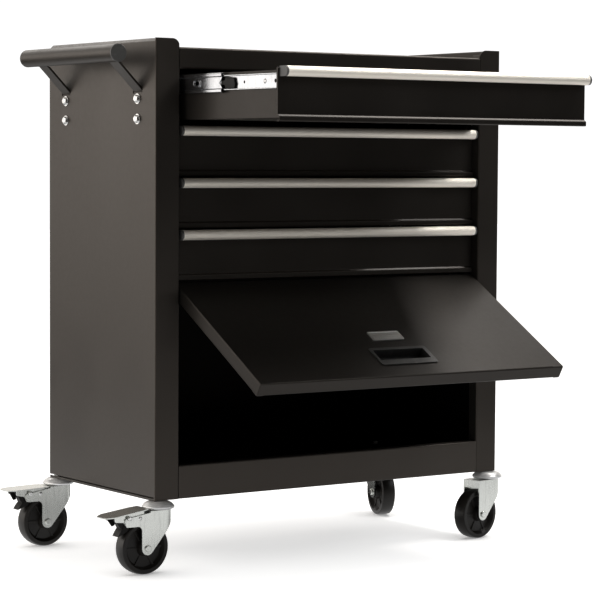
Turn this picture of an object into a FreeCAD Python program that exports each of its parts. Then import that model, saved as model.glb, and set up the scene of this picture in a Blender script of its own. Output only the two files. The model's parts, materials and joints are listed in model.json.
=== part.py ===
import FreeCAD, Part
import math
import os

# Tool cart: a sheet-steel cabinet on four swivel casters, with four drawers on telescopic slides,
# a lower compartment behind a top-hinged flap, a tray on top and a push handle on its left side.
# X runs to the right, Y to the back and Z up. While it is being built, X = 0 is the cabinet's left
# face, Y = 0 its front face and Z = 0 its underside. The last step moves the origin to the bottom
# centre of the whole cart's box. It stands as in use: top drawer pulled out, flap propped open.

Vector = FreeCAD.Vector

# ---- driving dimensions, millimetres and degrees ----
WIDTH = 616.0
DEPTH = 308.5
HEIGHT = 648.0
SHEET = 1.0
FOLD = 1.2
POST = 39.0
POST_RETURN = 18.0
POST_CORNER = 12.0
HEM_RISE = 5.0
HEM_WIDTH = 14.0
HEM_DROP = 14.0
SIDE_BOTTOM = 4.5
REAR_FLANGE = 15.0

TOP_RAIL_BOTTOM = 605.5
TOP_RAIL_TOP = 636.0
TRAY_FLOOR = 607.5
SILL_TOP = 48.0
BASE_FLOOR = 4.0
BASE_LIP_BOTTOM = -1.0
BASE_EDGE = 9.0
BASE_REVEAL = 2.0

DRAWERS = (1, 2, 3, 4)
TOP_PULL = 600.0
TOP_DRAWER_RISE = 3.0
DRAWER_PITCH = 73.5
DRAWER_GAP = 1.5
FACE_Y = 16.0
FACE_HEIGHT = 71.0
DRAWER_SIDE_X = 50.0
DRAWER_BACK_Y = 292.0
DRAWER_TRAVEL = 258.0
OPEN_DRAWER = 1

PULL_HEIGHT = 14.0
PULL_FRONT_Y = -2.5
PULL_WALL = 1.4
PULL_CAP = 3.0
PULL_INSET = 2.5

SLIDE_DROP = 19.0
SLIDE_X = 40.0
OUTER_RUN = (20.0, 276.0)
MIDDLE_RUN = (29.0, 271.0)
INNER_RUN = (19.6, 272.0)

FLAP_LEFT = 41.0
FLAP_BOTTOM = 50.0
FLAP_TOP = 303.5
FLAP_THICK = 20.0
FLAP_PIVOT = (10.0, 291.5)
FLAP_OPEN = 60.0
HINGE_PIN = 3.0
HINGE_HEAD = 5.0

HANDLE_X = -48.5
HANDLE_Z = 626.0
HANDLE_ENDS = (21.7, 283.7)
HANDLE_RADIUS = 12.7
HANDLE_ARMS = (49.5, 255.9)
ARM_WIDTH = 24.0
ARM_THICK = 3.0
ARM_BEND_Z = 575.0
HANDLE_BOLT_Z = (564.0, 535.5)
BOLT_RADIUS = 3.0
BOLT_FLATS = 10.0
WASHER_RADIUS = 7.35
WASHER_THICK = 1.2

STEM_RADIUS = 4.0
STEM_BOSS = 6.2
STEM_FLATS = 13.0
DOME_RADIUS = 23.0
DOME_BOTTOM = -10.7
FORK_TOP = -12.0
FORK_SHEET = 2.0
FORK_HALF = 16.5
FORK_FRONT = 18.0
TRAIL = 26.5
AXLE_Z = -64.5
WHEEL_RADIUS = 38.0
WHEEL_HALF = 10.5
AXLE_RADIUS = 3.0
AXLE_HEAD = 4.8
HEAD_GAP = 0.05
BRAKE_PIN = 2.0
KINGPIN_RADIUS = 5.0
RUNNING = 0.06
PEDAL_PIVOT = (-56.5, -19.5)
PEDAL_TIP = -93.0
PEDAL_FRONT = -24.0
PEDAL_HALF = 20.0
PEDAL_SHEET = 1.5
CHEEK_GAP = 0.3
PEDAL_PRESS = 6.0
PEDAL_FALL = 0.03
PRESSED_BRAKE = "front_left"

# Casters: name, swivel axis x and y, turn of the fork about Z, and whether it has a brake.
# With no turn the wheel trails towards -X.
CASTERS = (
    ("front_left", 10.0, 8.0, 0.0, True),
    ("rear_left", 10.0, DEPTH - 9.5, 0.0, True),
    ("front_right", WIDTH - 10.0, 8.0, 9.0, False),
    ("rear_right", WIDTH - 10.0, DEPTH - 9.5, 75.0, False),
)

AXES = {"XY": (0, 1, 2), "XZ": (0, 2, 1), "YZ": (1, 2, 0)}
NODES = {}


# ---- shared shapes ----
def box(x0, x1, y0, y1, z0, z1):
    """Block between two opposite corners."""
    return Part.makeBox(x1 - x0, y1 - y0, z1 - z0, Vector(x0, y0, z0))


def rod(radius, start, end):
    """Round bar from one point to another."""
    way = Vector(*end) - Vector(*start)
    return Part.makeCylinder(radius, way.Length, Vector(*start), way)


def joined(*shapes):
    """One solid made of shapes that touch or overlap."""
    return shapes[0].fuse(list(shapes[1:])).removeSplitter().Solids[0]


def mirrored(shape):
    """The same piece on the cabinet's other side."""
    return shape.mirror(Vector(WIDTH / 2, 0, 0), Vector(1, 0, 0))


def place(plane, u, v, w):
    """Point with u and v along the plane's axes and w along its normal."""
    spot = [0.0, 0.0, 0.0]
    for axis, value in zip(AXES[plane], (u, v, w)):
        spot[axis] = value
    return Vector(*spot)


def fold_run(points, radius, shift):
    """Line beside a folded middle line: its two ends, and three points of the arc at each fold."""
    flat = [Vector(u, v, 0) for u, v in points]
    ways = [(b - a).normalize() for a, b in zip(flat, flat[1:])]
    lefts = [Vector(-way.y, way.x, 0) for way in ways]
    run = [[flat[0] + lefts[0] * shift]]
    for i, corner in enumerate(flat[1:-1]):
        turn = math.atan2(ways[i].cross(ways[i + 1]).z, ways[i].dot(ways[i + 1]))
        side = math.copysign(1, turn)
        centre = corner - ways[i] * (radius * math.tan(abs(turn) / 2)) + lefts[i] * (side * radius)
        outward = (corner - centre).normalize()
        size = radius - side * shift
        first = centre - lefts[i] * (side * size)
        last = centre - lefts[i + 1] * (side * size)
        run.append([first, centre + outward * size, last])
    run.append([flat[-1] + lefts[-1] * shift])
    return run


def prism(plane, loop, start, end):
    """Solid whose outline is a loop of points and three-point arcs in plane."""
    edges = []
    for stop, following in zip(loop, loop[1:] + loop[:1]):
        if len(stop) == 3:
            edges.append(Part.Arc(*[place(plane, p.x, p.y, start) for p in stop]).toShape())
        a = place(plane, stop[-1].x, stop[-1].y, start)
        b = place(plane, following[0].x, following[0].y, start)
        if a.distanceToPoint(b) > 1e-6:
            edges.append(Part.makeLine(a, b))
    return Part.Face(Part.Wire(edges)).extrude(place(plane, 0, 0, end - start))


def strip(plane, points, start, end, fold=FOLD, sheet=SHEET):
    """Folded sheet whose middle line follows points in plane, from start to end along its normal."""
    radius = fold + sheet / 2
    left = fold_run(points, radius, sheet / 2)
    right = fold_run(points, radius, -sheet / 2)
    return prism(plane, left + [stop[::-1] for stop in reversed(right)], start, end)


def plate(plane, corners, start, end):
    """Flat plate with corners (u, v) or (u, v, radius) in plane, from start to end along its normal."""
    flat = [Vector(c[0], c[1], 0) for c in corners]
    loop = []
    for i, corner in enumerate(flat):
        radius = corners[i][2] if len(corners[i]) > 2 else 0
        if not radius:
            loop.append([corner])
            continue
        back = (flat[i - 1] - corner).normalize()
        on = (flat[(i + 1) % len(flat)] - corner).normalize()
        half = back.getAngle(on) / 2
        middle = (back + on).normalize()
        centre = corner + middle * (radius / math.sin(half))
        reach = radius / math.tan(half)
        loop.append([corner + back * reach, centre - middle * radius, corner + on * reach])
    return prism(plane, loop, start, end)


def hexagon(across_flats, start, end, direction):
    """Hexagonal bar along X or Z, with two flats facing the front and back."""
    reach = across_flats / math.sqrt(3)
    turns = [math.radians(60 * i) for i in range(7)]
    ring = [Vector(reach * math.cos(turn), reach * math.sin(turn), 0) for turn in turns]
    face = Part.Face(Part.makePolygon(ring))
    bar = face.extrude(Vector(0, 0, end - start))
    bar.translate(Vector(0, 0, start))
    if direction == "X":
        bar.rotate(Vector(0, 0, 0), Vector(0, 1, 0), 90)
    return bar


def touch(point, centre, radius):
    """Where the lower tangent from a point to a circle meets it."""
    reach = Vector(point[0] - centre[0], point[1] - centre[1], 0)
    angle = math.atan2(reach.y, reach.x) - math.acos(radius / reach.Length)
    return (centre[0] + radius * math.cos(angle), centre[1] + radius * math.sin(angle))


# ---- cabinet shell ----
def side_panel():
    """Left side bent from one sheet: front post with its return, wall, rear flange and rolled top edge."""
    half = SHEET / 2
    plan = [(POST - half, POST_RETURN), (POST - half, half), (half, half)]
    plan += [(half, DEPTH - half), (REAR_FLANGE, DEPTH - half)]
    hem_foot = HEIGHT - HEM_RISE
    inside = half + SHEET
    hem = [(inside, hem_foot - 12), (inside, hem_foot), (HEM_RISE + SHEET, HEIGHT - half)]
    hem += [(HEM_WIDTH, HEIGHT - half), (HEM_WIDTH, HEIGHT - HEM_DROP)]
    shape = strip("XY", plan, 0, HEIGHT)
    shape = shape.cut(box(-1, POST - 8, 2.3, DEPTH + 1, hem_foot, HEIGHT + 1))
    shape = shape.cut(box(-1, REAR_FLANGE + 1, 4, DEPTH + 1, -1, SIDE_BOTTOM))
    corner = box(POST - POST_CORNER, POST + 1, -1, POST_RETURN + 1, HEIGHT - POST_CORNER, HEIGHT + 1)
    round_end = (POST - POST_CORNER, POST_RETURN + 1, HEIGHT - POST_CORNER)
    corner = corner.cut(rod(POST_CORNER, (round_end[0], -1, round_end[2]), round_end))
    shape = shape.cut(corner)
    edge = strip("XZ", hem, 2.3, DEPTH - 2 * SHEET)
    mitre = plate("YZ", [(1, hem_foot - 1), (11, hem_foot + 9), (1, hem_foot + 9)], -1, HEM_WIDTH + 2)
    return joined(shape, edge.cut(mitre))


def left_panel():
    """Left side with the slots that the handle arms come through and the holes for their bolts."""
    shape = side_panel()
    slot_half = ARM_WIDTH / 2 + 0.8
    for arm_y in HANDLE_ARMS:
        low = ARM_BEND_Z - 3.5
        shape = shape.cut(box(-1, 2, arm_y - slot_half, arm_y + slot_half, low, low + 9.5))
        for bolt_z in HANDLE_BOLT_Z:
            shape = shape.cut(rod(BOLT_RADIUS + 0.2, (-1, arm_y, bolt_z), (2, arm_y, bolt_z)))
    return shape


def hinge_holes(shape):
    """Cut the holes that the flap's two hinge pins pass through."""
    return shape.cut(rod(HINGE_PIN + RUNNING, (-1, *FLAP_PIVOT), (WIDTH + 1, *FLAP_PIVOT)))


def pin_hole_in_return(panel):
    """Cut the hinge pin's hole in the post's return only, not in the outer wall."""
    return panel.cut(rod(HINGE_PIN + RUNNING, (POST - 4, *FLAP_PIVOT), (POST + 1, *FLAP_PIVOT)))


def back_panel():
    """Back sheet with a rolled top edge between the two sides."""
    y = DEPTH - 1.5 * SHEET
    top = HEIGHT - SHEET / 2
    hem = [(y, top - 30), (y, top), (y - 11.5, top), (y - 11.5, HEIGHT - HEM_DROP)]
    inset = HEM_WIDTH + 1.5
    edge = strip("YZ", hem, inset, WIDTH - inset)
    edge_x = SHEET + FOLD + 0.1
    sheet = box(edge_x, WIDTH - edge_x, DEPTH - 2 * SHEET, DEPTH - SHEET, BASE_FLOOR, HEIGHT - 6)
    return joined(sheet, edge)


def top_front_rail():
    """Rolled rail across the front, between the posts and below their tops."""
    half = SHEET / 2
    top = TOP_RAIL_TOP - half
    profile = [(10, TOP_RAIL_BOTTOM + half), (half, TOP_RAIL_BOTTOM + half), (half, top)]
    profile += [(18.5, top), (18.5, TRAY_FLOOR + SHEET)]
    return strip("YZ", profile, POST, WIDTH - POST, fold=1.8)


def top_tray():
    """Floor of the open tray on top, with its edges turned up against the walls."""
    low = TRAY_FLOOR
    high = TRAY_FLOOR + SHEET
    rim = high + 12
    inside = POST - SHEET
    clear = SHEET + FOLD + 0.1
    back = DEPTH - 2 * SHEET - 0.3
    parts = [box(SHEET, WIDTH - SHEET, 19, back, low, high)]
    parts.append(box(clear, inside, clear, 19, low, high))
    parts.append(box(WIDTH - inside, WIDTH - clear, clear, 19, low, high))
    parts.append(box(SHEET, 2 * SHEET, 19, back, high, rim))
    parts.append(box(WIDTH - 2 * SHEET, WIDTH - SHEET, 19, back, high, rim))
    parts.append(box(2 * SHEET, WIDTH - 2 * SHEET, back - SHEET, back, high, rim))
    parts.append(box(POST, WIDTH - POST, 19, 19 + SHEET, high, rim + 8))
    return joined(*parts)


def bottom_front_rail():
    """Sill across the front below the flap."""
    half = SHEET / 2
    profile = [(14, SILL_TOP - half), (half, SILL_TOP - half), (half, half), (14, half)]
    return strip("YZ", profile, POST, WIDTH - POST, fold=1.5)


def base_edge():
    """Left edge of the base: a channel open outwards, whose low lip lies flush with the side's wall."""
    half = SHEET / 2
    low = BASE_LIP_BOTTOM + half
    top = BASE_FLOOR + half
    profile = [(BASE_EDGE + 4, top), (BASE_EDGE, top), (BASE_EDGE, low), (half + 0.3, low)]
    profile.append((half + 0.3, SIDE_BOTTOM - BASE_REVEAL))
    return strip("XZ", profile, 4.5, DEPTH - 2 * SHEET, fold=0.3)


def base_pan():
    """Floor of the lower compartment, with stiffened side edges, a lip at the back and holes for the stems."""
    top = BASE_FLOOR + SHEET
    back = DEPTH - 2 * SHEET
    lip = BASE_LIP_BOTTOM
    parts = [box(2, WIDTH - 2, 18.5, back, BASE_FLOOR, top)]
    parts.append(box(2, POST - 2, 1.2, 18.5, BASE_FLOOR, top))
    parts.append(box(WIDTH - POST + 2, WIDTH - 2, 1.2, 18.5, BASE_FLOOR, top))
    parts.append(base_edge())
    parts.append(mirrored(base_edge()))
    parts.append(box(BASE_EDGE, WIDTH - BASE_EDGE, back - SHEET, back, lip, BASE_FLOOR))
    parts.append(box(POST, WIDTH - POST, 18.5, 19.5, lip, BASE_FLOOR))
    pan = joined(*parts)
    for _, x, y, _, _ in CASTERS:
        pan = pan.cut(rod(STEM_RADIUS + 0.2, (x, y, lip - 1), (x, y, top + 1)))
        pan = pan.cut(rod(STEM_BOSS + 0.2, (x, y, lip - 1), (x, y, BASE_FLOOR)))
    return pan


def flap_header():
    """Channel across the cabinet behind the flap's top edge."""
    profile = [(52, 288.5), (32.5, 288.5), (32.5, 303.5), (52, 303.5)]
    return strip("YZ", profile, SLIDE_X, WIDTH - SLIDE_X)


def slide_upright(front):
    """Hat-section upright on the left wall that the slides are hooked to."""
    low = SHEET * 1.5
    high = SLIDE_X - SHEET / 2
    plan = [(low, front - 10), (low, front), (high, front), (high, front + 40), (low, front + 40)]
    plan.append((low, front + 50))
    return strip("XY", plan, 287, 604)


# ---- drawers and their slides; top is the height of the drawer's pull ----
def pull_top(number):
    rise = TOP_DRAWER_RISE if number == 1 else 0.0
    return TOP_PULL + rise - DRAWER_PITCH * (number - 1)


def face_height(number):
    return FACE_HEIGHT + (TOP_DRAWER_RISE - 1 if number == 1 else 0.0)


def drawn(number, share=1.0):
    """How far forward this drawer, or a share of its travel, stands at rest."""
    return -DRAWER_TRAVEL * share if number == OPEN_DRAWER else 0.0


def pulled(shape, number, share=1.0):
    shape.translate(Vector(0, drawn(number, share), 0))
    return shape


def drawer_box(number):
    """Drawer of folded sheet: doubled front with a flared bottom lip, sides, back and floor."""
    top = pull_top(number)
    left = POST + DRAWER_GAP
    right = WIDTH - left
    y = FACE_Y + SHEET / 2
    foot = top - face_height(number) + SHEET / 2
    face = [(19, top - 2.1), (y, top - 2.1), (y, foot + 8.5)]
    face += [(y - 4, foot + 6), (y - 4, foot), (19, foot)]
    floor = foot + 4.5
    rim = top - 5
    inner_left = DRAWER_SIDE_X
    inner_right = WIDTH - DRAWER_SIDE_X
    parts = [strip("YZ", face, left, right, fold=1.0)]
    parts.append(box(left, left + SHEET, FACE_Y + 0.5, 19.4, foot + 9, top - 2))
    parts.append(box(right - SHEET, right, FACE_Y + 0.5, 19.4, foot + 9, top - 2))
    parts.append(box(inner_left, inner_right, 18, 23, top - 2.6, top - 1.6))
    parts.append(box(inner_left, inner_right, 22, 23, floor, top - 1.6))
    parts.append(box(inner_left, inner_right, 22, DRAWER_BACK_Y, floor, floor + SHEET))
    parts.append(box(inner_left, inner_right, DRAWER_BACK_Y - SHEET, DRAWER_BACK_Y, floor, rim - 4))
    parts.append(box(inner_left, inner_left + SHEET, 17, DRAWER_BACK_Y, floor, rim))
    parts.append(box(inner_right - SHEET, inner_right, 17, DRAWER_BACK_Y, floor, rim))
    parts.append(box(inner_left, inner_left + 4, 23, DRAWER_BACK_Y, rim - SHEET, rim))
    parts.append(box(inner_right - 4, inner_right, 23, DRAWER_BACK_Y, rim - SHEET, rim))
    return joined(*parts)


def drawer_pull(top):
    """Extruded full-width pull: a leg on the drawer's face, a flat top and a round nose rolled inwards."""
    half = PULL_WALL / 2
    foot = top - PULL_HEIGHT + half
    back = FACE_Y - half
    front = PULL_FRONT_Y + half
    nose = PULL_HEIGHT / 2 - PULL_WALL
    left = POST + DRAWER_GAP + PULL_INSET + PULL_CAP
    roll = [(back - 1, top - half), (front, top - half), (front, foot), (front + nose + 1, foot)]
    shell = strip("YZ", roll, left, WIDTH - left, fold=nose - 0.1, sheet=PULL_WALL)
    leg = box(left, WIDTH - left, FACE_Y - PULL_WALL, FACE_Y, foot, top)
    return joined(shell, leg)


def pull_cap(top):
    """Moulded cap that closes the pull's left end."""
    foot = top - PULL_HEIGHT
    nose = PULL_HEIGHT / 2 - 0.1
    corners = [(PULL_FRONT_Y, foot, nose), (PULL_FRONT_Y, top, nose)]
    corners += [(FACE_Y, top, 0.5), (FACE_Y, foot, 0.5)]
    left = POST + DRAWER_GAP + PULL_INSET
    return plate("YZ", corners, left, left + PULL_CAP)


def slide_outer(top):
    """Cabinet member of the left slide: a channel open towards the drawer."""
    z = top - SLIDE_DROP
    web = SLIDE_X + SHEET / 2
    lip = DRAWER_SIDE_X - 1
    profile = [(lip, z + 15.6), (lip - 1.6, z + 17), (web, z + 17), (web, z - 17), (lip - 1.6, z - 17)]
    profile.append((lip, z - 15.6))
    return strip("XZ", profile, *OUTER_RUN, fold=0.5)


def slide_middle(top):
    """Middle member of the left slide, with a slotted boss and a notched front end."""
    z = top - SLIDE_DROP
    web = SLIDE_X + 3.5
    lip = DRAWER_SIDE_X - 1.6
    profile = [(lip, z + 13), (web, z + 13), (web, z + 9), (web + 1, z + 8), (web + 1, z - 8)]
    profile += [(web, z - 9), (web, z - 13), (lip, z - 13)]
    shape = strip("XZ", profile, *MIDDLE_RUN, fold=0.4)
    front = MIDDLE_RUN[0]
    notch = plate("YZ", [(front - 1, z - 7), (front + 6, z, 1), (front - 1, z + 7)], web - 2, web + 3)
    slot_y = front + 62
    boss = plate("YZ", [(slot_y - 9, z - 6, 5), (slot_y + 9, z - 6, 5), (slot_y + 9, z + 6, 5),
                        (slot_y - 9, z + 6, 5)], web + 0.2, web + 1)
    hole = plate("YZ", [(slot_y - 6, z - 3, 2.5), (slot_y + 6, z - 3, 2.5), (slot_y + 6, z + 3, 2.5),
                        (slot_y - 6, z + 3, 2.5)], web - 2, web + 3)
    return joined(shape, boss).cut(notch).cut(hole)


def slide_inner(top):
    """Drawer member of the left slide: a channel open towards the cabinet wall, with screw holes."""
    z = top - SLIDE_DROP
    web = DRAWER_SIDE_X - SHEET / 2
    profile = [(web - 3.9, z + 9.5), (web, z + 9.5), (web, z - 9.5), (web - 3.9, z - 9.5)]
    shape = strip("XZ", profile, *INNER_RUN, fold=0.8)
    for y, radius in ((34, 2.6), (59, 3.2), (109, 2.0), (180, 2.6), (250, 2.6)):
        shape = shape.cut(rod(radius, (web - 2, y, z), (web + 2, y, z)))
    return shape


# ---- flap ----
def opened(shape):
    """Swing a flap piece from closed to its propped angle."""
    shape.rotate(Vector(0, *FLAP_PIVOT), Vector(1, 0, 0), -FLAP_OPEN)
    return shape


CUP = (WIDTH / 2 - 46.5, WIDTH / 2 + 53.0, FLAP_BOTTOM + 27, FLAP_BOTTOM + 68)
BADGE = (WIDTH / 2 - 24, WIDTH / 2 + 30.5, FLAP_BOTTOM + 87, FLAP_BOTTOM + 108)


def inset_corners(edges, inset, radius):
    """Rounded corners of a rectangle drawn in from four edges."""
    x0, x1, z0, z1 = edges
    x0 += inset
    x1 -= inset
    z0 += inset
    z1 -= inset
    return [(x0, z0, radius), (x1, z0, radius), (x1, z1, radius), (x0, z1, radius)]


def flap_side():
    """Left edge of the flap: face, flange and an inner return."""
    half = SHEET / 2
    left = FLAP_LEFT + half
    deep = FLAP_THICK - half
    return strip("XY", [(left + 10, deep), (left, deep), (left, half), (left + 20, half)],
                 FLAP_BOTTOM + 0.5, FLAP_TOP - 0.5)


def flap_panel():
    """Folded pan of the flap, with the opening for its cup pull and holes for its hinge pins."""
    half = SHEET / 2
    deep = FLAP_THICK - half
    low = FLAP_BOTTOM + half
    high = FLAP_TOP - half
    profile = [(deep, low + 12), (deep, low), (half, low), (half, high), (deep, high), (deep, high - 8)]
    face = strip("YZ", profile, FLAP_LEFT + 0.5, WIDTH - FLAP_LEFT - 0.5)
    side = flap_side()
    pan = joined(face, side, mirrored(side))
    opening = box(CUP[0] + 2.5, CUP[1] - 2.5, -1, 3, CUP[2] + 2.5, CUP[3] - 2.5)
    return hinge_holes(pan.cut(opening))


def flap_cup():
    """Moulded cup pull let into the flap: a flange on the face and a pocket behind it."""
    x0, x1, z0, z1 = CUP
    rim = plate("XZ", inset_corners(CUP, 0, 4), -1.6, 0)
    pocket = plate("XZ", inset_corners(CUP, 3, 3), 0, 15)
    hollow = plate("XZ", [(x0 + 4.6, z0 + 11.5, 2), (x1 - 6.5, z0 + 11.5, 2), (x1 - 6.5, z1 - 5.5, 2),
                          (x0 + 4.6, z1 - 5.5, 2)], -3, 13.4)
    return joined(rim, pocket).cut(hollow)


def flap_badge():
    """Plain plate above the cup pull, with a raised border."""
    base = plate("XZ", inset_corners(BADGE, 0, 2), -1.8, 0)
    field = plate("XZ", inset_corners(BADGE, 2, 1), -2.5, -1.2)
    return base.cut(field)


def hinge_pin():
    """Left hinge pin, with its head inside the post and a collar that spaces the flap."""
    y, z = FLAP_PIVOT
    shank = rod(HINGE_PIN, (POST - 2.5, y, z), (FLAP_LEFT + 5, y, z))
    head = rod(HINGE_HEAD, (POST - 2.5, y, z), (POST - SHEET, y, z))
    collar = rod(HINGE_HEAD, (POST, y, z), (FLAP_LEFT - 0.2, y, z))
    return joined(shank, head, collar)


# ---- push handle ----
def handle_tube():
    start = (HANDLE_X, HANDLE_ENDS[0], HANDLE_Z)
    end = (HANDLE_X, HANDLE_ENDS[1], HANDLE_Z)
    return rod(HANDLE_RADIUS, start, end).cut(rod(HANDLE_RADIUS - 1.5, start, end))


def handle_cap(end_y, outward):
    """Flat cap with a plug that fits inside the tube; outward is -1 at the front and 1 at the back."""
    disc = rod(HANDLE_RADIUS, (HANDLE_X, end_y, HANDLE_Z), (HANDLE_X, end_y + 3 * outward, HANDLE_Z))
    rims = [edge for edge in disc.Edges if edge.Closed and abs(edge.CenterOfMass.y - end_y) > 2]
    disc = disc.makeFillet(1.2, rims)
    plug = rod(HANDLE_RADIUS - 1.5, (HANDLE_X, end_y, HANDLE_Z), (HANDLE_X, end_y - 10 * outward, HANDLE_Z))
    return joined(disc, plug)


def handle_arm(y):
    """Flat arm bolted inside the wall, passing out through its slot and up to the underside of the bar."""
    inside = SHEET + ARM_THICK / 2
    climb = HANDLE_Z - ARM_BEND_Z
    path = [(inside, ARM_BEND_Z - 52), (inside, ARM_BEND_Z), (inside - climb, HANDLE_Z)]
    arm = strip("XZ", path, y - ARM_WIDTH / 2, y + ARM_WIDTH / 2, fold=4, sheet=ARM_THICK)
    bar = rod(HANDLE_RADIUS, (HANDLE_X, 0, HANDLE_Z), (HANDLE_X, DEPTH, HANDLE_Z))
    arm = max(arm.cut(bar).Solids, key=lambda solid: solid.Volume)
    for z in HANDLE_BOLT_Z:
        arm = arm.cut(rod(BOLT_RADIUS + 0.1, (0, y, z), (6, y, z)))
    return arm


def bolt(y, z):
    """Hexagon bolt through the washer, the wall and the arm."""
    head = hexagon(BOLT_FLATS, -WASHER_THICK - 4, -WASHER_THICK, "X")
    chamfer = Part.makeSphere(8.5, Vector(2.6, 0, 0))
    head = head.common(chamfer)
    shank = rod(BOLT_RADIUS, (-WASHER_THICK, 0, 0), (11, 0, 0))
    shape = joined(head, shank)
    shape.translate(Vector(0, y, z))
    return shape


def washer(y, z):
    ring = rod(WASHER_RADIUS, (-WASHER_THICK, y, z), (0, y, z))
    return ring.cut(rod(BOLT_RADIUS + 0.1, (-2, y, z), (1, y, z)))


def nut(y, z):
    seat = SHEET + ARM_THICK
    shape = hexagon(BOLT_FLATS, seat, seat + 5, "X").cut(rod(BOLT_RADIUS + 0.02, (3, 0, 0), (10, 0, 0)))
    shape.translate(Vector(0, y, z))
    return shape


# ---- casters; drawn about a swivel axis at x = y = 0, wheel trailing towards -X ----
def pressed(shape, name):
    """Swing a pedal piece down about its pin if this is the caster whose brake is on."""
    if name == PRESSED_BRAKE:
        px, pz = PEDAL_PIVOT
        shape.rotate(Vector(px, 0, pz), Vector(0, 1, 0), -PEDAL_PRESS)
    return shape


def settle(shape, x, y, turn):
    """Turn a caster piece about the swivel axis and move it to its corner."""
    shape.rotate(Vector(0, 0, 0), Vector(0, 0, 1), turn)
    shape.translate(Vector(x, y, 0))
    return shape


def stem():
    """Threaded stem, bearing dome and the kingpin with its rivet head, one piece fixed to the cabinet."""
    top = BASE_LIP_BOTTOM
    low = DOME_BOTTOM
    bead = Vector(DOME_RADIUS, 0, low + 2.6)
    shoulder = Vector(17.85, 0, top - 1.51)
    edges = [
        Part.makeLine(Vector(0, 0, top), Vector(13, 0, top)),
        Part.Arc(Vector(13, 0, top), shoulder, Vector(DOME_RADIUS - 1, 0, low + 4.2)).toShape(),
        Part.Arc(Vector(DOME_RADIUS - 1, 0, low + 4.2), bead, Vector(DOME_RADIUS - 1.2, 0, low)).toShape(),
        Part.makeLine(Vector(DOME_RADIUS - 1.2, 0, low), Vector(0, 0, low)),
        Part.makeLine(Vector(0, 0, low), Vector(0, 0, top)),
    ]
    dome = Part.Face(Part.Wire(edges)).revolve(Vector(0, 0, 0), Vector(0, 0, 1), 360)
    boss = rod(STEM_BOSS, (0, 0, top), (0, 0, BASE_FLOOR))
    thread = rod(STEM_RADIUS, (0, 0, BASE_FLOOR), (0, 0, 16))
    neck = rod(KINGPIN_RADIUS, (0, 0, FORK_TOP - FORK_SHEET - 0.4), (0, 0, low))
    rivet = rod(8, (0, 0, FORK_TOP - FORK_SHEET - 3), (0, 0, FORK_TOP - FORK_SHEET - 0.3))
    return joined(dome, boss, thread, neck, rivet)


def stem_nut():
    low = BASE_FLOOR + SHEET
    return hexagon(STEM_FLATS, low, low + 6.5, "Z").cut(rod(STEM_RADIUS + 0.02, (0, 0, 0), (0, 0, 20)))


def fork(braked):
    """Pressed fork: round-nosed channel whose sides narrow to the axle, under a swivel plate.

    A braked fork has arms that reach back under the pedal; a plain one is closed by a short web."""
    middle = FORK_HALF - FORK_SHEET / 2
    nose = FORK_FRONT - FORK_SHEET / 2
    leg_radius = 9.2
    axle = (-TRAIL, AXLE_Z)
    trailing = -TRAIL - leg_radius
    back = -63.0 if braked else trailing
    plan = [(back, -middle), (nose, -middle), (nose, middle), (back, middle)]
    channel = strip("XY", plan, -80, FORK_TOP, fold=middle - 1.2, sheet=FORK_SHEET)
    brow = (FORK_FRONT + 1, -24.0)
    low = touch(brow, axle, leg_radius)
    side = [(FORK_FRONT + 1, FORK_TOP), (*brow, 4), low, axle, (trailing, AXLE_Z)]
    if braked:
        side += [(trailing, -32.5, 7), (back, -32.5, 6), (back, -20.5, 2), (-22, -14.2), (-22, FORK_TOP)]
    else:
        side += [(trailing, FORK_TOP)]
    reach = FORK_HALF + 1
    leg = rod(leg_radius, (axle[0], -reach, axle[1]), (axle[0], reach, axle[1]))
    outline = joined(plate("XZ", side, -reach, reach), leg)
    cheeks = channel.common(outline)
    plate_back = -22.0 if braked else trailing
    outer = [(plate_back, -FORK_HALF), (FORK_FRONT, -FORK_HALF, FORK_HALF - 0.2)]
    outer += [(FORK_FRONT, FORK_HALF, FORK_HALF - 0.2), (plate_back, FORK_HALF)]
    pieces = [cheeks, plate("XY", outer, FORK_TOP - FORK_SHEET, FORK_TOP)]
    if not braked:
        web = box(trailing, trailing + FORK_SHEET, -middle, middle, FORK_TOP - 12, FORK_TOP)
        pieces.append(web)
    shape = joined(*pieces)
    shape = shape.cut(rod(KINGPIN_RADIUS + RUNNING, (0, 0, -20), (0, 0, 0)))
    shape = shape.cut(rod(AXLE_RADIUS + 0.02, (axle[0], -reach, axle[1]), (axle[0], reach, axle[1])))
    if braked:
        px, pz = PEDAL_PIVOT
        shape = shape.cut(rod(BRAKE_PIN + 0.02, (px, -reach, pz), (px, reach, pz)))
    return shape


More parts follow.
